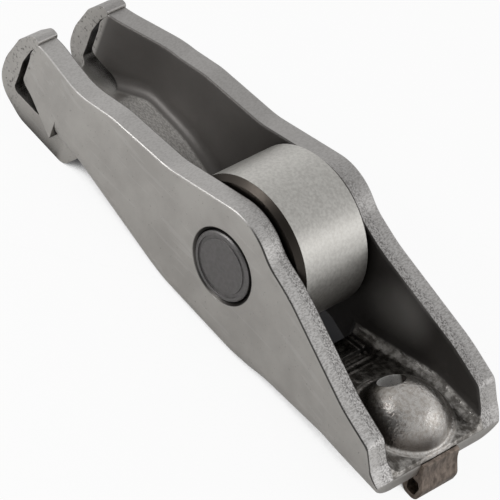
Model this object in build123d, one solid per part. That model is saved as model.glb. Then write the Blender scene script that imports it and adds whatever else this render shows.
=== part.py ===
"""Roller finger follower of a valve train, folded from one steel sheet.

X runs along the arm, the socket end at +X and the valve end at -X.
Y runs across the arm along the roller axle. Z points up to the cam.
The origin is the middle of the roller on its axle. All sizes are in mm.
"""
import math
import os

from build123d import *

os.makedirs("parts", exist_ok=True)

# Sheet that the channel is folded from
sheet = 2.6
outer_bend = 3.0
inner_bend = 1.4
cut_edge_round = 0.25

# Roller, axle and needles
axle_radius = 3.8
axle_fit = 0.01
needle_radius = 0.8
needle_side_gap = 0.05
running_fit = 0.02
roller_radius = 8.5
roller_length = 9.6
roller_chamfer = 0.6
roller_side_gap = 0.2
needle_end_gap = 0.4
needle_length = roller_length - 2 * needle_end_gap
needle_pitch = axle_radius + needle_radius + running_fit
needle_count = int(math.pi / math.asin((needle_radius + needle_side_gap / 2) / needle_pitch))
lead_in_radius = axle_radius + 0.45
stake_groove = (axle_radius - 0.82, axle_radius - 0.45)

# Domed seat for the lash adjuster
dome_radius = 4.95
seat_radius = 3.5
seat_flare = 0.45
dome_foot = 0.4
dome_side_room = 1.5
oil_hole_radius = 1.5
oil_hole_tilt = 39.0

# Half widths over the outside of the channel and where they change
prong_gap = 6.8
valve_half = prong_gap / 2 + sheet
roller_half = roller_length / 2 + roller_side_gap + sheet
pivot_half = dome_radius + dome_side_room + sheet
valve_neck = (-30.8, -24.0)
pivot_flare = (8.5, 19.8)
axle_length = 2 * roller_half + 0.2

# Web on the valve side, nearly level and then falling to the roller window
web_crown = (-23.4, -17.0)
web_top = -4.65
window_start = (-11.3, -6.3)
web_end = -21.4

# Floor on the pivot side, its slope and its end past the walls
floor_top = (-6.6, -4.5)
floor_slope_ends = (9.8, 19.4)
drawn_sheet = 2.15
wall_end = 25.4
floor_end = wall_end + 1.35
pocket_end = 13.3
pocket_half = 4.1
pocket_depth = 0.35
pocket_groove = 0.8
pocket_corner = 1.3

# Fold under the roller, before the window leaves its middle out
fold_bottom = -10.2
fold_level = (-6.1, 4.6)
wall_foot = -8.3

# Valve pad and the prongs curled up from its end
pad_bottom = -9.5
pad_top = pad_bottom + sheet
pad_rise_start = -28.4
slit_end = -25.4
curl_centre = (-30.8, -5.35)
curl_radius = 4.05

# Places worked out from the sizes above
dome_centre = (wall_end - 4.0, floor_top[1] - 1.47)
floor_under = floor_top[1] - drawn_sheet
web_under = web_top - sheet + 0.3

# Spring clip under the pivot end
clip_sheet = 0.5
clip_width = 5.0
clip_gap = 0.02
clip_bottom = -9.55
clip_mouth = seat_radius + 0.5
clip_arm_start = dome_centre[0] - 0.7
clip_arm_half = clip_mouth + 1.2


def rounded(points, radii):
    """Flat outline of straight runs joined by arcs."""
    return make_face(FilletPolyline(*points, radius=radii, close=True))


def plan_slab(inset):
    """Top view of the channel, drawn in by inset, as a tall slab."""
    near = [
        (-40, -valve_half + inset, 0),
        (valve_neck[0], -valve_half + inset, 12),
        (valve_neck[1], -roller_half + inset, 12),
        (pivot_flare[0], -roller_half + inset, 20),
        (pivot_flare[1], -pivot_half + inset, 20),
        (40, -pivot_half + inset, 0),
    ]
    far = [(x, -y, r) for x, y, r in reversed(near)]
    corners = near + far
    outline = rounded([(x, y) for x, y, r in corners], [r for x, y, r in corners])
    return extrude(outline, 20, both=True)


def side_slab(corners, half):
    """Side view given as (x, z, corner radius), as a slab across Y."""
    outline = rounded([(x, z) for x, z, r in corners], [r for x, z, r in corners])
    return extrude(Plane.XZ * outline, half, both=True)


def wall_outline():
    """Walls seen from the side, left long below for the folds."""
    return [
        (-31.95, -12, 0),
        (-31.95, -2.0, 1),
        (-32.1, -0.9, 0.3),
        (-31.6, 0.8, 0.4),
        (-22.4, 2.35, 9),
        (-18.6, 3.4, 9),
        (-10.2, 4.4, 10),
        (1.2, 8.1, 6),
        (5.0, 5.35, 6),
        (wall_end - 1.4, -1.15, 1.2),
        (wall_end, -3.4, 3),
        (floor_end, floor_top[1] - 0.4, 0.4),
        (floor_end, -12, 0),
    ]


def valve_wall_outline():
    """Walls over the pad, cut free of it by a slit that closes at the step."""
    return [
        (-32.6, 12, 0),
        (-32.6, -3.2, 0),
        (-31.6, -5.0, 1.2),
        (slit_end, pad_top + 0.35, 0),
        (slit_end + 0.1, pad_top + 0.35, 0),
        (slit_end + 0.1, 12, 0),
    ]


def fold_outline():
    """Underside of the fold, level under the roller and rising to both ends."""
    return [
        (slit_end, 15, 0),
        (slit_end, web_under, 0),
        (web_end, web_under, 6),
        (fold_level[0], fold_bottom, 8),
        (fold_level[1], fold_bottom, 8),
        (floor_slope_ends[1], floor_under, 10),
        (floor_end + 1, floor_under, 0),
        (floor_end + 1, 15, 0),
    ]


def foot_cut_outline():
    """Part of the fold that the roller window leaves out of the wall feet."""
    return [
        (window_start[0] + 0.2, -15, 0),
        (window_start[0] + 0.2, -9.2, 0),
        (window_start[0] + 2.8, wall_foot, 2),
        (floor_slope_ends[0] - 3.4, wall_foot, 2),
        (floor_slope_ends[0] - 0.4, -9.3, 0),
        (floor_slope_ends[0] - 0.4, -15, 0),
    ]


def room_outline():
    """Room between the walls, above the pad, the web and the pivot floor."""
    web_fall = (window_start[1] - web_top) / (window_start[0] - web_crown[1])
    floor_rise = (floor_top[1] - floor_top[0]) / (floor_slope_ends[1] - floor_slope_ends[0])
    web_reach = fold_level[0] - window_start[0]
    floor_reach = floor_slope_ends[0] - fold_level[1]
    return [
        (-40, 20, 0),
        (45, 20, 0),
        (45, floor_top[1], 0),
        (floor_slope_ends[1], floor_top[1], 8),
        (fold_level[1], floor_top[0] - floor_rise * floor_reach, 8),
        (fold_level[0], window_start[1] + web_fall * web_reach, 8),
        (web_crown[1], web_top, 15),
        (web_crown[0], web_top, 5),
        (pad_rise_start, pad_top, 6),
        (-40, pad_top, 0),
    ]


def long_lower_edges(solid, x_range, z_top):
    """Edges that run along the arm on the near and far foot of the walls."""
    found = []
    for edge in solid.edges():
        middle = edge @ 0.5
        across = abs((edge @ 0).Y) > 3 and abs((edge @ 1).Y) > 3
        along = abs((edge @ 0).X - (edge @ 1).X) > 0.15
        inside = x_range[0] < middle.X < x_range[1]
        if across and along and inside and middle.Z < z_top:
            if (edge @ 0).Y * (edge @ 1).Y > 0:
                found.append(edge)
    return found


def cut_edges(walls):
    """Upper edges of both walls, outside and inside."""
    found = []
    for face in walls.faces():
        if face.normal_at().Z > 0.4 and face.center().Z > -1.6:
            for edge in face.edges():
                if abs((edge @ 0).X - (edge @ 1).X) > 0.02:
                    found.append(edge)
    return found


def folded_walls():
    """Both walls with the web and the pivot floor between them."""
    fold = plan_slab(0) & side_slab(fold_outline(), 12)
    fold = fillet(long_lower_edges(fold, (slit_end, floor_end), -6), outer_bend)
    valve_walls = plan_slab(0) & side_slab(valve_wall_outline(), 12)
    outside = (fold + valve_walls) & side_slab(wall_outline(), 12)
    outside = outside - side_slab(foot_cut_outline(), 12)
    room = plan_slab(sheet) & side_slab(room_outline(), 12)
    room = fillet(long_lower_edges(room, (-40, 30), -3.9), inner_bend)
    return fillet(cut_edges(outside - room), cut_edge_round)


def pad_strip():
    """Step down from the web, valve pad and the strip curled up at its end."""
    cx, cz = curl_centre
    steps = [
        (-19.8, web_under - 0.3, 0),
        (-21.9, web_under + 0.2, 0.8),
        (-23.4, pad_bottom, 1.6),
        (cx + 0.2, pad_bottom, 3.9),
        (cx - curl_radius, cz - curl_radius + 1.6, 3.2),
        (cx - curl_radius, cz + 1.2, 5),
        (-33.9, -0.6, 2.0),
        (-32.4, 1.25, 0.9),
        (-31.45, 1.2, 0.35),
        (-31.35, 0.6, 0),
        (-32.0, -0.5, 0),
        (-32.2, -1.2, 0.3),
        (-32.6, -2.8, 2),
        (-32.55, -5.0, 2),
        (-32.65, pad_top, 0.6),
        (pad_rise_start, pad_top, 6),
        (web_crown[0], web_top - 0.3, 3),
        (-19.8, web_top - 0.8, 0),
    ]
    strip = side_slab(steps, valve_half)
    notch = Pos(-36.6, 0, 0) * Box(10.2, prong_gap, 30)
    notch = fillet(notch.edges().filter_by(Axis.Z).group_by(Axis.X)[-1], 1.2)
    over_pad = Pos(-35.9, 0, 5) * Box(10.2, prong_gap, 18)
    return strip - notch - over_pad


def drawn_dome(body):
    """Dome drawn up from the floor, its seat below and the oil hole."""
    x, z = dome_centre
    body = body + Pos(x, 0, z) * Sphere(dome_radius)
    below = Pos(x, 0, floor_under - 5) * Box(2.2 * dome_radius, 2.2 * dome_radius, 10)
    body = body - below
    foot = [
        e for e in body.edges()
        if e.geom_type == GeomType.CIRCLE
        and abs(e.arc_center.X - x) < 0.05
        and abs(e.arc_center.Y) < 0.05
        and e.radius > seat_radius + 0.4
        and e.arc_center.Z > floor_top[1] - 0.1
    ]
    body = fillet(foot, dome_foot)
    body = body - Pos(x, 0, z) * Sphere(seat_radius)
    mouth = Pos(x, 0, z - 1.5) * Cylinder(seat_radius, 3)
    flare = Pos(x, 0, floor_under) * Cone(seat_radius + seat_flare, seat_radius, 2 * seat_flare)
    body = body - mouth - flare
    drill = Cylinder(oil_hole_radius, 8, align=(Align.CENTER, Align.CENTER, Align.MIN))
    return body - Pos(x, 0, z) * Rot(0, -oil_hole_tilt, 0) * drill


def floor_pocket():
    """Coined step in the floor between the window and the dome."""
    slope = (floor_top[1] - floor_top[0]) / (floor_slope_ends[1] - floor_slope_ends[0])

    def sunk(x, depth):
        return (x, floor_top[0] + slope * (x - floor_slope_ends[0]) - depth, 0)

    start = floor_slope_ends[0] - 4
    groove = pocket_end - 1.1
    side = [
        (start, 10, 0),
        (pocket_end, 10, 0),
        sunk(pocket_end, pocket_groove),
        sunk(groove, pocket_groove),
        sunk(groove - 0.3, pocket_depth),
        sunk(start, pocket_depth),
    ]
    plan = [
        (start, -pocket_half, 0),
        (pocket_end, -pocket_half, pocket_corner),
        (pocket_end, pocket_half, pocket_corner),
        (start, pocket_half, 0),
    ]
    outline = rounded([(x, y) for x, y, r in plan], [r for x, y, r in plan])
    return side_slab(side, 12) & extrude(outline, 20, both=True)


def channel_body():
    """The one folded sheet with its dome, pad, prongs and axle bore."""
    body = folded_walls() - floor_pocket()
    window_long = floor_slope_ends[0] - window_start[0]
    window_mid = (floor_slope_ends[0] + window_start[0]) / 2
    window = Pos(window_mid, 0, -8) * Box(window_long, 2 * (roller_half - sheet), 8)
    window = fillet(window.edges().filter_by(Axis.Z), 1.0)
    body = drawn_dome(body - window + pad_strip())
    bore = Rot(90, 0, 0) * Cylinder(axle_radius + axle_fit, 30)
    body = body - bore
    for side in (-1, 1):
        lead_in = Cone(axle_radius + axle_fit, lead_in_radius, 0.44)
        at_face = Pos(0, side * (roller_half - 0.21), 0)
        body = body - at_face * Rot(-side * 90, 0, 0) * lead_in
    return body


def axle_pin():
    """Axle with a staking groove and a flat centre on each end."""
    pin = Cylinder(axle_radius, axle_length)
    pin = chamfer(pin.edges().filter_by(GeomType.CIRCLE), 0.15)
    for side in (-1, 1):
        ring = Cylinder(stake_groove[1], 0.3) - Cylinder(stake_groove[0], 0.3)
        pin = pin - Pos(0, 0, side * (axle_length / 2)) * ring
        centre = Cylinder(stake_groove[0], 0.1)
        pin = pin - Pos(0, 0, side * (axle_length / 2)) * centre
    return Rot(90, 0, 0) * pin


def roller():
    """Hardened roller with chamfered rims and a plain needle track."""
    track = axle_radius + 2 * needle_radius + 2 * running_fit
    tyre = Cylinder(roller_radius, roller_length)
    tyre = chamfer(tyre.edges().filter_by(GeomType.CIRCLE), roller_chamfer)
    tyre = tyre - Cylinder(track, roller_length)
    rims = [e for e in tyre.edges() if e.geom_type == GeomType.CIRCLE and e.radius < track + 0.1]
    return Rot(90, 0, 0) * chamfer(rims, 0.25)


def needle(index):
    """One needle of the full ring, lying between the axle and the roller."""
    turn = 2 * math.pi * index / needle_count
    pin = Cylinder(needle_radius, needle_length)
    pin = fillet(pin.edges().filter_by(GeomType.CIRCLE), 0.2)
    return Pos(needle_pitch * math.cos(turn), 0, needle_pitch * math.sin(turn)) * Rot(90, 0, 0) * pin


def retaining_clip():
    """Spring strip under the floor that loops down past its end."""
    under = floor_under - clip_gap
    face = floor_end + clip_gap
    outer = [
        (clip_arm_start, under, 0),
        (face, under, 0),
        (face, floor_top[1] - 0.3, 0),
        (face + clip_sheet - 0.1, floor_top[1] - 0.4, 0),
        (face + clip_sheet + 0.1, under + 0.6, 3),
        (face + 1.4, clip_bottom + 1.8, 1.2),
        (face + 1.1, clip_bottom, 0.9),
        (face - 1.0, clip_bottom + 0.1, 0.9),
        (face - 1.2, under - clip_sheet, 0.3),
        (clip_arm_start, under - clip_sheet, 0),
    ]
    inner = [
        (face - 0.7, under - clip_sheet, 0.2),
        (face + 0.5, under - clip_sheet, 0.2),
        (face + 0.9, clip_bottom + 1.8, 0.4),
        (face + 0.65, clip_bottom + clip_sheet, 0.4),
        (face - 0.5, clip_bottom + clip_sheet + 0.1, 0.4),
    ]
    leaf = side_slab(outer, clip_arm_half) - side_slab(inner, clip_arm_half)
    plan = [
        (clip_arm_start, -clip_arm_half, 0.4),
        (23.5, -clip_arm_half, 1.2),
        (25.6, -clip_width / 2, 0.8),
        (29.0, -clip_width / 2, 0),
        (29.0, clip_width / 2, 0),
        (25.6, clip_width / 2, 0.8),
        (23.5, clip_arm_half, 1.2),
        (clip_arm_start, clip_arm_half, 0.4),
    ]
    outline = rounded([(x, y) for x, y, r in plan], [r for x, y, r in plan])
    leaf = leaf & extrude(outline, 20, both=True)
    x = dome_centre[0]
    mouth = Pos(x, 0, 0) * Cylinder(clip_mouth, 40)
    throat = Pos(x - 6, 0, 0) * Box(12, 1.7 * clip_mouth, 40)
    return leaf - mouth - throat


def write(shape, node):
    """Save one piece under its own name."""
    if isinstance(shape, ShapeList):
        shape = Compound(children=list(shape))
    solids = shape.solids()
    export_step(solids[0] if len(solids) == 1 else shape, f"parts/{node}.step")


write(channel_body(), "channel_body")
write(axle_pin(), "axle_pin")
write(roller(), "roller")
for number in range(needle_count):
    write(needle(number), f"needle_{number + 1:02d}")
write(retaining_clip(), "retaining_clip")
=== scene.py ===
import math
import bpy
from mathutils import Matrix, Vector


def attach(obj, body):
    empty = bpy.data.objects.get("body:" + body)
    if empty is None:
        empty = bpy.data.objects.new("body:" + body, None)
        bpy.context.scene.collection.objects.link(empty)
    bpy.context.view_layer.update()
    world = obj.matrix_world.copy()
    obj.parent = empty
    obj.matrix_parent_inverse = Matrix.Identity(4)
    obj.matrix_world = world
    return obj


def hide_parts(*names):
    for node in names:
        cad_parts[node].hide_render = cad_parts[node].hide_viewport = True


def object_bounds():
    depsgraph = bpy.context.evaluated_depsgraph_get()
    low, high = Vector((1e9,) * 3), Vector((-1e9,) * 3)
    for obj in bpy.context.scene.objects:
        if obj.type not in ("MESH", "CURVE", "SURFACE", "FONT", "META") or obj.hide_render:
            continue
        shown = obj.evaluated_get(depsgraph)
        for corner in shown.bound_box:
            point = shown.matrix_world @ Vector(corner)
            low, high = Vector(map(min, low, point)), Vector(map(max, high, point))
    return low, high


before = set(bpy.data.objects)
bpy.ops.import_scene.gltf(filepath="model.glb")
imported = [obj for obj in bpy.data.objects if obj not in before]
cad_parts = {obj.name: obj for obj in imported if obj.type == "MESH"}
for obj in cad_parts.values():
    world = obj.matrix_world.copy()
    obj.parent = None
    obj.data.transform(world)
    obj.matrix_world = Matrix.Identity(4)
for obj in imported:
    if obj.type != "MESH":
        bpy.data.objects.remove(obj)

from types import SimpleNamespace

import bmesh
import bpy
from mathutils import Matrix, Vector

cad_low, cad_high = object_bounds()

# Folded channel, the one piece of sheet steel that carries everything else.
# It is blanked, drawn at the dome, folded up along both sides and case hardened.
# The outside is tumbled smooth, the blanked edges stay rough and the inside dark, with painted shade in its
# hollows and gaps.
MM = 0.001
WELD_REACH = 0.002 * MM
SHARP_ANGLE = math.radians(26)
EDGE_WEAR = 0.1 * MM
SHEET_GRAIN_DEPTH = 0.08 * MM

# places and sizes; a pair is where a soft border or a slope starts and ends
ROLLER_HALF = 7.6 * MM
PIVOT_HALF = 9.05 * MM
FLARE_X = (8.5 * MM, 19.8 * MM)
PIVOT_SIDE_X = (-6 * MM, 8 * MM)
CUT_LEVEL = -3.7 * MM
CUT_BORDER = 0.2 * MM
TORN_DEPTH = (1.1 * MM, 1.5 * MM)
FILLET_TOP = CUT_LEVEL - 0.4 * MM
WIDE_ROOM_Y = (6.3 * MM, 6.4 * MM)
WIDE_ROOM_X = (21 * MM, 22 * MM)
FLOOR_START_X = (2 * MM, 3 * MM)
RIM_START_X = (0.0, 3 * MM)
CURL_END_X = (-31.7 * MM, -31.1 * MM)
INSIDE_START_X = (-31.5 * MM, -31.0 * MM)
VALVE_END_X = (-24.8 * MM, -24.0 * MM)
WEB_START_X = (-25.6 * MM, -25.0 * MM)
WEB_END_X = -11.0 * MM
# painted shade on the inside walls rises over this stretch and holds on towards the pivot end
OILED_X = (-16 * MM, -4 * MM)
# a painted reflection: a soft lighter patch on the far inside wall near the pivot
PATCH_CENTRE = (13.0 * MM, 6.0 * MM, -1.0 * MM)
PATCH_REACH = (0.5 * MM, 5.0 * MM)
DOME_CENTRE = (21.4 * MM, 0.0, -5.97 * MM)
DOME_REACH = (5.3 * MM, 5.7 * MM)
OIL_HOLE_AXIS = (-0.629, 0.0, 0.777)
OIL_HOLE_RADIUS = (1.5 * MM, 1.55 * MM)
ACROSS_AXLE = (1.0, 0.0, 1.0)
AXLE_SEAT_RADIUS = (4.15 * MM, 4.3 * MM)
POCKET_CENTRE_X = 8.0 * MM
POCKET_HALF_LENGTH = 4.2 * MM
POCKET_HALF_WIDTH = 3.0 * MM
STEP_PITCH = 0.85 * MM
FIRST_STEP = (0.05 * MM, 0.3 * MM)
LAST_STEP = (1.8 * MM, 2.4 * MM)
ROOM_REACH = 9 * MM
NOTCH_REACH = 4 * MM
GAP_REACH = 1.3 * MM

# tones of the steel and of what lies on it
OUTSIDE_LIGHT = (0.585, 0.565, 0.535, 1.0)
OUTSIDE_DARK = (0.50, 0.48, 0.455, 1.0)
CUT_LIGHT = (0.76, 0.745, 0.73, 1.0)
CUT_MIDDLE = (0.50, 0.485, 0.47, 1.0)
CUT_SMOOTH = (0.58, 0.565, 0.55, 1.0)
CUT_DARK = (0.20, 0.19, 0.185, 1.0)
INSIDE_LIGHT = (0.20, 0.188, 0.178, 1.0)
INSIDE_DARK = (0.125, 0.116, 0.108, 1.0)
FLOOR_LIGHT = (0.46, 0.44, 0.415, 1.0)
FLOOR_DARK = (0.13, 0.12, 0.108, 1.0)
WEB_LIGHT = (0.76, 0.74, 0.71, 1.0)
WEB_DARK = (0.46, 0.44, 0.42, 1.0)
DOME_LIGHT = (0.70, 0.675, 0.645, 1.0)
DOME_DARK = (0.52, 0.48, 0.44, 1.0)
# painted shade on the dome's foot and near side
DOME_FOOT = (0.085, 0.072, 0.062, 1.0)
# painted highlight on the fillet along the floor
WORN_FILLET = (0.72, 0.70, 0.67, 1.0)
# painted light on one side of the oil hole's wall
HOLE_WALL = (0.90, 0.89, 0.87, 1.0)
# dark of pits and nicks, also used as painted shade on the far wall's blanked edge
PIT = (0.10, 0.09, 0.085, 1.0)
# near black for painted shade in hollows, gaps, notches and along edges, and for the dark ring at the axle
# seat
SOOT = (0.018, 0.015, 0.013, 1.0)


def copy_of_node(node, piece_name):
    """A new piece with the same mesh as a node of the frame, welded and smooth."""
    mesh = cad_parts[node].data.copy()
    piece = bpy.data.objects.new(piece_name, mesh)
    bpy.context.scene.collection.objects.link(piece)
    work = bmesh.new()
    work.from_mesh(mesh)
    bmesh.ops.remove_doubles(work, verts=work.verts, dist=WELD_REACH)
    for face in work.faces:
        face.smooth = True
    for edge in work.edges:
        edge.smooth = len(edge.link_faces) == 2 and edge.calc_face_angle() < SHARP_ANGLE
    work.to_mesh(mesh)
    work.free()
    weights = piece.modifiers.new("weights", "WEIGHTED_NORMAL")
    weights.keep_sharp = True
    return piece


def dress(piece, material):
    """Gives a piece one material in place of those it came with."""
    piece.data.materials.clear()
    piece.data.materials.append(material)


def finish_of(name):
    """A new steel with its node tree and its surface shader."""
    material = bpy.data.materials.new(name)
    material.use_nodes = True
    surface = material.node_tree.nodes["Principled BSDF"]
    surface.inputs["Metallic"].default_value = 1.0
    return material, material.node_tree, surface


def maths(operation, *values):
    """Puts sockets and numbers together one after another, or works on a lone socket."""
    tree = next(value for value in values if isinstance(value, bpy.types.NodeSocket)).id_data
    result = values[0]
    for value in values[1:] or (0.0,):
        node = tree.nodes.new("ShaderNodeMath")
        node.operation = operation
        for socket, given in zip(node.inputs, (result, value)):
            if isinstance(given, bpy.types.NodeSocket):
                tree.links.new(given, socket)
            else:
                socket.default_value = given
        result = node.outputs[0]
    return result


def vector_of(operation, first, second=None, output="Vector"):
    """One vector sum on a socket, with three numbers where it needs them."""
    tree = first.id_data
    node = tree.nodes.new("ShaderNodeVectorMath")
    node.operation = operation
    tree.links.new(first, node.inputs[0])
    if second is not None:
        node.inputs[1].default_value = second
    return node.outputs[output]


def parts_of(vector):
    """The x, y and z of a vector."""
    tree = vector.id_data
    node = tree.nodes.new("ShaderNodeSeparateXYZ")
    tree.links.new(vector, node.inputs[0])
    return node.outputs


def all_of(*masks):
    """Masks that must all hold, made weaker or stronger by a number among them."""
    return maths("MULTIPLY", *masks)


def either(*masks):
    """Masks of which one is enough."""
    return maths("MAXIMUM", *masks)


def without(mask, *others):
    """The part of a mask that lies outside the other ones."""
    for other in others:
        mask = maths("MULTIPLY", mask, maths("SUBTRACT", 1.0, other))
    return mask


def fade(value, low, high):
    """Rises smoothly from 0 to 1 while the value goes from low to high."""
    tree = value.id_data
    node = tree.nodes.new("ShaderNodeMapRange")
    node.interpolation_type = "SMOOTHSTEP"
    node.inputs["From Min"].default_value = low
    node.inputs["From Max"].default_value = high
    tree.links.new(value, node.inputs["Value"])
    return node.outputs["Result"]


def fall(value, low, high):
    """Falls smoothly from 1 to 0 while the value goes from low to high."""
    return maths("SUBTRACT", 1.0, fade(value, low, high))


def spread(value, low, high):
    """Turns a value between 0 and 1 into one between low and high."""
    tree = value.id_data
    node = tree.nodes.new("ShaderNodeMapRange")
    node.inputs["To Min"].default_value = low
    node.inputs["To Max"].default_value = high
    tree.links.new(value, node.inputs["Value"])
    return node.outputs["Result"]


def blend(share, first, second):
    """Mixes two colours, each of them a socket or four numbers."""
    tree = share.id_data
    node = tree.nodes.new("ShaderNodeMix")
    node.data_type = "RGBA"
    tree.links.new(share, node.inputs["Factor"])
    for socket, value in ((node.inputs[6], first), (node.inputs[7], second)):
        if isinstance(value, tuple):
            socket.default_value = value
        else:
            tree.links.new(value, socket)
    return node.outputs[2]


def layered(colour, layers):
    """Lays tones over a colour one after another, each of them where its mask holds."""
    for mask, tone in layers:
        colour = blend(mask, colour, tone)
    return colour


def grain(tree, scale, detail, stretch=(1.0, 1.0, 1.0)):
    """Noise in the space of the part, drawn out along an axis where stretch is small."""
    place = tree.nodes.new("ShaderNodeTexCoord")
    turn = tree.nodes.new("ShaderNodeMapping")
    turn.inputs["Scale"].default_value = stretch
    noise = tree.nodes.new("ShaderNodeTexNoise")
    noise.inputs["Scale"].default_value = scale
    noise.inputs["Detail"].default_value = detail
    noise.inputs["Roughness"].default_value = 0.6
    tree.links.new(place.outputs["Object"], turn.inputs["Vector"])
    tree.links.new(turn.outputs["Vector"], noise.inputs["Vector"])
    return noise.outputs["Fac"]


def crevices(tree, reach, low, high, samples=8):
    """1 in corners and gaps of the given reach, 0 where the surface lies open."""
    covered = tree.nodes.new("ShaderNodeAmbientOcclusion")
    covered.samples = samples
    covered.inputs["Distance"].default_value = reach
    return fall(covered.outputs["AO"], low, high)


def relief(height, depth):
    """Surface grain of the given depth over edges that are a little worn."""
    tree = height.id_data
    worn = tree.nodes.new("ShaderNodeBevel")
    worn.samples = 4
    worn.inputs["Radius"].default_value = EDGE_WEAR
    bump = tree.nodes.new("ShaderNodeBump")
    bump.inputs["Strength"].default_value = 0.5
    bump.inputs["Distance"].default_value = depth
    tree.links.new(height, bump.inputs["Height"])
    tree.links.new(worn.outputs["Normal"], bump.inputs["Normal"])
    return bump.outputs["Normal"]


def pocket_steps(x, half, floor):
    """Nested steps in the floor round the end of the coined pocket."""
    past_end = maths("MAXIMUM", maths("SUBTRACT", x, POCKET_CENTRE_X, POCKET_HALF_LENGTH), 0.0)
    past_side = maths("MAXIMUM", maths("SUBTRACT", half, POCKET_HALF_WIDTH), 0.0)
    squares = [maths("MULTIPLY", past, past) for past in (past_end, past_side)]
    past_rim = maths("SQRT", maths("ADD", *squares))
    waves = maths("SINE", maths("MULTIPLY", past_rim, math.tau / STEP_PITCH))
    return all_of(waves, floor, without(fade(past_rim, *FIRST_STEP), fade(past_rim, *LAST_STEP)))


def sheet_zones(tree):
    """Masks of the channel's surfaces, told apart by place and by the way they face."""
    place = tree.nodes.new("ShaderNodeTexCoord")
    spot = place.outputs["Object"]
    x, y, z = parts_of(spot)
    # these run from -1 to 1 as the surface turns that way
    ahead, aside, up = parts_of(place.outputs["Normal"])
    half = maths("ABSOLUTE", y)
    outward = maths("MULTIPLY", maths("SIGN", y), aside)
    inward = maths("MULTIPLY", outward, -1.0)
    high = fade(z, CUT_LEVEL - CUT_BORDER, CUT_LEVEL)
    wide = all_of(fade(half, *WIDE_ROOM_Y), fade(x, *WIDE_ROOM_X))
    zone = SimpleNamespace()
    zone.pivot_side = fade(x, *PIVOT_SIDE_X)

    # dome with painted shade over its foot and near side, oil hole through it
    zone.dome = fall(vector_of("DISTANCE", spot, DOME_CENTRE, "Value"), *DOME_REACH)
    zone.foot = without(zone.dome, fade(up, 0.42, 0.88), fade(aside, -0.25, 0.4))
    from_centre = vector_of("SUBTRACT", spot, DOME_CENTRE)
    off_axis = vector_of("LENGTH", vector_of("CROSS_PRODUCT", from_centre, OIL_HOLE_AXIS), output="Value")
    # painted light goes on the part of the oil hole's wall that faces along +x
    zone.hole = all_of(fall(off_axis, *OIL_HOLE_RADIUS), zone.dome, fade(ahead, 0.0, 0.3))

    # blanked edge on top of the walls, torn on its inner half
    zone.cut = without(all_of(fade(up, 0.4, 0.6), either(high, wide)), zone.dome)
    # far wall's blanked edge, which gets painted shade below
    zone.far_cut = all_of(zone.cut, maths("GREATER_THAN", y, 0.0))
    flare = maths("MULTIPLY", fade(x, *FLARE_X), PIVOT_HALF - ROLLER_HALF)
    from_outside = maths("SUBTRACT", maths("ADD", flare, ROLLER_HALF), half)
    zone.torn = all_of(fade(from_outside, *TORN_DEPTH), zone.pivot_side)
    # painted shade: a dark line along the rounded outer top edge of the near wall, on the pivot half
    rim_turn = without(fade(up, 0.25, 0.45), fade(up, 0.75, 0.92))
    near_rim = all_of(rim_turn, fade(outward, 0.2, 0.4), maths("LESS_THAN", y, 0.0))
    zone.near_rim = all_of(near_rim, fade(x, *RIM_START_X))

    # inside of the walls, floor between them and fillet along it
    zone.inside = all_of(without(fade(inward, 0.12, 0.4), zone.dome), fade(x, *INSIDE_START_X))
    # painted shade darkens the inside walls from the roller window to the pivot end
    zone.oiled = all_of(zone.inside, fade(x, *OILED_X))
    # painted reflection: a soft lighter patch on the inside wall
    from_patch = vector_of("DISTANCE", spot, PATCH_CENTRE, "Value")
    zone.patch = without(zone.inside, fade(from_patch, *PATCH_REACH))
    level = all_of(without(fade(up, 0.45, 0.7), high), maths("LESS_THAN", z, CUT_LEVEL))
    zone.hollow = without(either(zone.inside, level), zone.dome)
    zone.floor = without(all_of(level, fade(x, *FLOOR_START_X)), zone.dome, wide)
    zone.steps = pocket_steps(x, half, zone.floor)
    crest = without(fade(up, 0.5, 0.6), fade(up, 0.68, 0.8))
    low_crest = all_of(crest, fade(inward, 0.2, 0.4), maths("LESS_THAN", z, FILLET_TOP))
    zone.fillet = all_of(low_crest, zone.pivot_side)

    # web and prongs at the valve end, seat of the axle in the walls
    flat = without(fade(up, 0.8, 0.95), high)
    zone.web = all_of(fade(x, *WEB_START_X), maths("LESS_THAN", x, WEB_END_X), flat)
    zone.valve_end = fall(x, *VALVE_END_X)
    zone.curl = fall(x, *CURL_END_X)
    from_axle = vector_of("LENGTH", vector_of("MULTIPLY", spot, ACROSS_AXLE), output="Value")
    zone.seat = fall(from_axle, *AXLE_SEAT_RADIUS)
    return zone


def sheet_marks(tree):
    """Marks that drawing, blanking, tumbling and wear leave in the sheet, and streaks for a painted
    highlight.
    """
    return SimpleNamespace(
        clouds=grain(tree, scale=220.0, detail=5.0),
        speckle=grain(tree, scale=5600.0, detail=4.0),
        shear=grain(tree, scale=7000.0, detail=3.0, stretch=(1.0, 0.4, 1.0)),
        score=grain(tree, scale=2600.0, detail=5.0, stretch=(1.0, 1.0, 0.6)),
        drag=grain(tree, scale=6500.0, detail=3.0, stretch=(0.5, 1.0, 1.0)),
        rubbed=grain(tree, scale=3000.0, detail=4.0, stretch=(0.25, 1.0, 1.0)),
        lumps=grain(tree, scale=1100.0, detail=6.0),
        wrinkles=grain(tree, scale=4600.0, detail=3.0, stretch=(1.0, 0.6, 0.6)),
        pits=fade(grain(tree, scale=2700.0, detail=5.0), 0.55, 0.66),
        nicks=fade(grain(tree, scale=3400.0, detail=2.0), 0.68, 0.72),
        scratches=fade(grain(tree, scale=900.0, detail=2.0, stretch=(0.12, 1.6, 1.6)), 0.60, 0.64),
    )


def edge_colour(zone, mark):
    """Blanked edge, sheared smooth on its outer half and torn and pitted on its inner half."""
    sheared = blend(zone.pivot_side, CUT_SMOOTH, CUT_LIGHT)
    sheared = blend(fade(mark.shear, 0.35, 0.6), CUT_MIDDLE, sheared)
    torn = blend(fade(mark.speckle, 0.35, 0.6), CUT_DARK, CUT_LIGHT)
    torn = blend(all_of(mark.pits, 0.75), torn, PIT)
    return blend(all_of(zone.torn, 0.85), sheared, torn)


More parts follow.
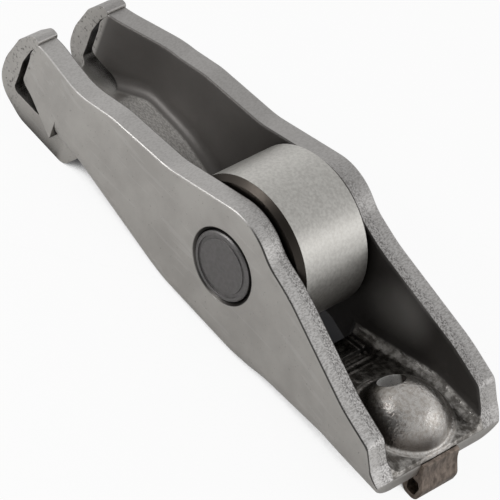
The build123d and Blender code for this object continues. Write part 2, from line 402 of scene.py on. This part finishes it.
def sheet_colour(tree, zone, mark):
    """Tumbled steel with each zone laid over it in turn, and painted shade, the dark seat ring and painted
    light in the oil hole laid on last.
    """
    outside = blend(fade(mark.clouds, 0.3, 0.7), OUTSIDE_DARK, OUTSIDE_LIGHT)
    # where a mask comes with a number, that share of the tone covers what lies below
    layers = (
        (all_of(mark.scratches, 0.16), CUT_LIGHT),
        (all_of(mark.nicks, 0.35), PIT),
        (all_of(zone.curl, mark.pits, 0.75), PIT),
        (zone.cut, edge_colour(zone, mark)),
        # painted shade: the far wall's blanked edge is darkened
        (all_of(zone.far_cut, 0.22), PIT),
        # painted shade line on the near wall's outer top edge
        (all_of(zone.near_rim, 0.85), SOOT),
        (zone.web, blend(fade(mark.drag, 0.35, 0.65), WEB_DARK, WEB_LIGHT)),
        (zone.dome, blend(fade(mark.score, 0.34, 0.6), DOME_DARK, DOME_LIGHT)),
        # painted shade on the dome's foot and near side
        (all_of(zone.foot, 0.95), DOME_FOOT),
        (zone.inside, blend(mark.clouds, INSIDE_DARK, INSIDE_LIGHT)),
        # painted shade on the inside walls near the roller and at the pivot end
        (all_of(zone.oiled, 0.78), SOOT),
        # painted reflection lightening the inside wall
        (all_of(zone.patch, 0.5), OUTSIDE_DARK),
        (zone.floor, blend(fade(mark.lumps, 0.4, 0.65), FLOOR_DARK, FLOOR_LIGHT)),
        # painted highlight: thin light streaks along the fillet between floor and walls
        (all_of(zone.fillet, fade(mark.rubbed, 0.48, 0.64), 0.7), WORN_FILLET),
        # painted shade deep in the hollow, in narrow gaps and in the notch at the valve end
        (all_of(zone.hollow, crevices(tree, ROOM_REACH, 0.0, 0.42)), SOOT),
        (crevices(tree, GAP_REACH, 0.15, 0.55), SOOT),
        (all_of(zone.valve_end, crevices(tree, NOTCH_REACH, 0.40, 0.72)), SOOT),
        # dark ring round the axle seat
        (all_of(zone.seat, 0.85), SOOT),
        # painted light inside the oil hole
        (zone.hole, HOLE_WALL),
    )
    return layered(outside, layers)


def channel_finish():
    """Satin outside, blanked edges, inside with painted shade, hammered dome and stepped pocket."""
    material, tree, surface = finish_of("hardened_sheet")
    zone = sheet_zones(tree)
    mark = sheet_marks(tree)
    tree.links.new(sheet_colour(tree, zone, mark), surface.inputs["Base Color"])

    hammered = either(zone.dome, zone.floor)
    rough = maths("SUBTRACT", spread(mark.speckle, 0.38, 0.52), all_of(hammered, 0.16))
    tree.links.new(rough, surface.inputs["Roughness"])
    dull = either(zone.inside, zone.web, zone.hole)
    tree.links.new(maths("SUBTRACT", 1.0, all_of(dull, 0.65)), surface.inputs["Metallic"])

    scored = maths("ADD", all_of(either(zone.web, zone.cut), 0.5), 0.12)
    height = maths(
        "ADD",
        all_of(mark.score, scored),
        all_of(mark.lumps, hammered, 2.2),
        all_of(mark.wrinkles, zone.dome, 1.3),
        all_of(zone.steps, 1.2),
    )
    tree.links.new(relief(height, SHEET_GRAIN_DEPTH), surface.inputs["Normal"])
    return material


channel = copy_of_node("channel_body", "folded_channel")
dress(channel, channel_finish())
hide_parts("channel_body")
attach(channel, "arm")

# Axle pin, turned from bar steel and staked into both walls.
# Its ends show a ring of punched metal round a flat centre.
AXLE_LIGHT = (0.225, 0.215, 0.215, 1.0)
AXLE_DARK = (0.185, 0.18, 0.175, 1.0)
ROUGH_SPREAD = 0.07


def plain_steel(name, light, dark, scale, rough, depth, stretch=(1.0, 1.0, 1.0)):
    """Steel with streaks between two tones and a roughness that follows them."""
    material, tree, surface = finish_of(name)
    streaks = grain(tree, scale, 4.0, stretch)
    tree.links.new(blend(fade(streaks, 0.3, 0.7), dark, light), surface.inputs["Base Color"])
    patches = spread(streaks, rough - ROUGH_SPREAD, rough + ROUGH_SPREAD)
    tree.links.new(patches, surface.inputs["Roughness"])
    tree.links.new(relief(streaks, depth), surface.inputs["Normal"])
    return material


axle = copy_of_node("axle_pin", "staked_axle")
dress(axle, plain_steel("axle_steel", AXLE_LIGHT, AXLE_DARK, scale=2200.0, rough=0.48, depth=0.008 * MM))
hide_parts("axle_pin")
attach(axle, "arm")

# Cam roller, a hardened ring ground on the outside and on both faces.
# It runs on the needles and its rims are chamfered.
TYRE_LIGHT = (0.70, 0.685, 0.65, 1.0)
TYRE_DARK = (0.56, 0.545, 0.515, 1.0)
TYRE_SHADE = (0.13, 0.115, 0.10, 1.0)
# painted shade on the roller's faces and chamfers, next to the walls
TYRE_OIL = (0.06, 0.052, 0.045, 1.0)


def roller_finish():
    """Ground steel with painted shade deep in the window and painted shade on both faces."""
    material = plain_steel("ground_roller", TYRE_LIGHT, TYRE_DARK, scale=3000.0, rough=0.42, depth=0.012 * MM)
    tree = material.node_tree
    place = tree.nodes.new("ShaderNodeTexCoord")
    aside = parts_of(place.outputs["Normal"])[1]
    layers = (
        (crevices(tree, ROOM_REACH, 0.15, 0.75), TYRE_SHADE),
        # painted shade on the roller's faces, which lie close to the walls
        (fade(maths("ABSOLUTE", aside), 0.3, 0.6), TYRE_OIL),
    )
    base = tree.nodes["Principled BSDF"].inputs["Base Color"]
    tree.links.new(layered(base.links[0].from_socket, layers), base)
    return material


tyre = copy_of_node("roller", "cam_roller_ring")
dress(tyre, roller_finish())
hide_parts("roller")
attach(tyre, "cam_roller")

# Needles, seventeen plain steel pins that fill the ring between axle and roller.
# They are drawn, hardened and lapped bright.
NEEDLE_LIGHT = (0.7, 0.7, 0.7, 1.0)
NEEDLE_DARK = (0.6, 0.6, 0.6, 1.0)
DRAWN_OUT = (1.0, 0.2, 1.0)
lapped_steel = plain_steel(
    "lapped_needles", NEEDLE_LIGHT, NEEDLE_DARK, scale=3000.0, rough=0.2, depth=0.004 * MM, stretch=DRAWN_OUT
)
for name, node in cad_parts.items():
    if name.startswith("needle_"):
        dress(node, lapped_steel)

# Spring clip, a folded strip of dark spring steel under the pivot end.
# It hooks over the end of the floor and reaches round the mouth of the seat.
STRIP_LIGHT = (0.40, 0.33, 0.28, 1.0)
STRIP_DARK = (0.16, 0.13, 0.11, 1.0)
UP_THE_STRIP = (1.0, 1.0, 0.4)
clip = copy_of_node("retaining_clip", "spring_clip")
strip_steel = plain_steel(
    "spring_strip", STRIP_LIGHT, STRIP_DARK, scale=1800.0, rough=0.40, depth=0.03 * MM, stretch=UP_THE_STRIP
)
dress(clip, strip_steel)
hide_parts("retaining_clip")
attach(clip, "arm")

# Floor, a wide white board under the part.
# It takes the real shadow, and a painted shadow makes it darkest under the part and below its window.
BOARD_SIZE = 6.0
BOARD_LEVEL = cad_low.z - 0.02 * MM
BOARD_WHITE = (0.86, 0.86, 0.86, 1.0)
BOARD_LIT = (1.0, 1.0, 1.0, 1.0)
BOARD_SHADED = (0.012, 0.012, 0.013, 1.0)
BOARD_REACH = 14 * MM
LIT_SHARE = 0.93
BELOW_WINDOW_X = (10 * MM, 14 * MM)
BELOW_WINDOW_CENTRE_Y = 2.5 * MM
BELOW_WINDOW_Y = (5 * MM, 5.8 * MM)


def board_paint():
    """White glow to the lens, with a painted shadow under the part and below its window."""
    material = bpy.data.materials.new("white_board")
    material.use_nodes = True
    tree = material.node_tree
    tree.nodes.clear()
    place = tree.nodes.new("ShaderNodeTexCoord")
    x, y = parts_of(place.outputs["Object"])[:2]
    along = fade(maths("ABSOLUTE", x), *BELOW_WINDOW_X)
    across = fade(maths("ABSOLUTE", maths("SUBTRACT", y, BELOW_WINDOW_CENTRE_Y)), *BELOW_WINDOW_Y)
    closed_over = crevices(tree, BOARD_REACH, 0.08, 0.24, samples=16)
    # painted shadow: the glow goes dark where the part closes over the board and below its window
    open_ground = without(either(along, across), closed_over)
    glow = tree.nodes.new("ShaderNodeEmission")
    tree.links.new(blend(open_ground, BOARD_SHADED, BOARD_LIT), glow.inputs["Color"])
    paint = tree.nodes.new("ShaderNodeBsdfDiffuse")
    paint.inputs["Color"].default_value = BOARD_WHITE
    ray = tree.nodes.new("ShaderNodeLightPath")
    mix = tree.nodes.new("ShaderNodeMixShader")
    tree.links.new(maths("MULTIPLY", ray.outputs["Is Camera Ray"], LIT_SHARE), mix.inputs[0])
    tree.links.new(paint.outputs[0], mix.inputs[1])
    tree.links.new(glow.outputs[0], mix.inputs[2])
    out = tree.nodes.new("ShaderNodeOutputMaterial")
    tree.links.new(mix.outputs[0], out.inputs[0])
    return material


bpy.ops.mesh.primitive_plane_add(size=BOARD_SIZE, location=(0, 0, BOARD_LEVEL))
board = bpy.context.object
board.name = "white_board"
dress(board, board_paint())

# Studio, a white sweep that is brightest round the horizon and dark behind the lens.
# A small lamp stands at the left front and another low at the right, behind the part.
HORIZON = (0.85, 0.85, 0.85, 1.0)
OVERHEAD = (0.5, 0.5, 0.5, 1.0)
BEHIND_LENS = (0.08, 0.08, 0.08, 1.0)
TOWARD_LENS = (0.0, -0.79, 0.61)
world = bpy.data.worlds.new("studio")
bpy.context.scene.world = world
world.use_nodes = True
way = world.node_tree.nodes.new("ShaderNodeTexCoord").outputs["Generated"]
sweep = blend(fade(parts_of(way)[2], 0.1, 0.8), HORIZON, OVERHEAD)
hidden = fade(vector_of("DOT_PRODUCT", way, TOWARD_LENS, "Value"), 0.78, 0.92)
backdrop = world.node_tree.nodes["Background"]
world.node_tree.links.new(blend(hidden, sweep, BEHIND_LENS), backdrop.inputs["Color"])
backdrop.inputs["Strength"].default_value = 1.0


def softbox(name, centre, size, power):
    """A square area light at the given place that faces the part."""
    lamp = bpy.data.lights.new(name, "AREA")
    lamp.size = size
    lamp.energy = power
    holder = bpy.data.objects.new(name, lamp)
    bpy.context.scene.collection.objects.link(holder)
    holder.location = Vector(centre)
    holder.rotation_mode = "QUATERNION"
    holder.rotation_quaternion = Vector(centre).to_track_quat("Z", "Y")


softbox("key", centre=(-0.075, -0.085, 0.075), size=0.03, power=0.05)
softbox("rim", centre=(0.20, 0.177, 0.132), size=0.10, power=0.04)

# Camera, a long lens above the left front of the part.
# Its place and turn are fitted to the wall edges and to the round end of the axle.
CAMERA_AT = Vector((145.32, -236.98, 285.19)) * MM
CAMERA_RIGHT = Vector((0.63881, 0.72224, 0.26512))
CAMERA_DOWN = Vector((0.67601, -0.36240, -0.64163))
CAMERA_FORWARD = Vector((-0.36733, 0.58910, -0.71974))
lens = bpy.data.cameras.new("camera")
lens.sensor_width = 36.0
lens.lens = 288.5
lens.clip_start = 0.01
lens.clip_end = 50.0
camera = bpy.data.objects.new("camera", lens)
bpy.context.scene.collection.objects.link(camera)
turn = Matrix((CAMERA_RIGHT, -CAMERA_DOWN, -CAMERA_FORWARD)).transposed()
camera.matrix_world = Matrix.Translation(CAMERA_AT) @ turn.to_4x4()
bpy.context.scene.camera = camera

bpy.context.scene.view_settings.view_transform = "Standard"
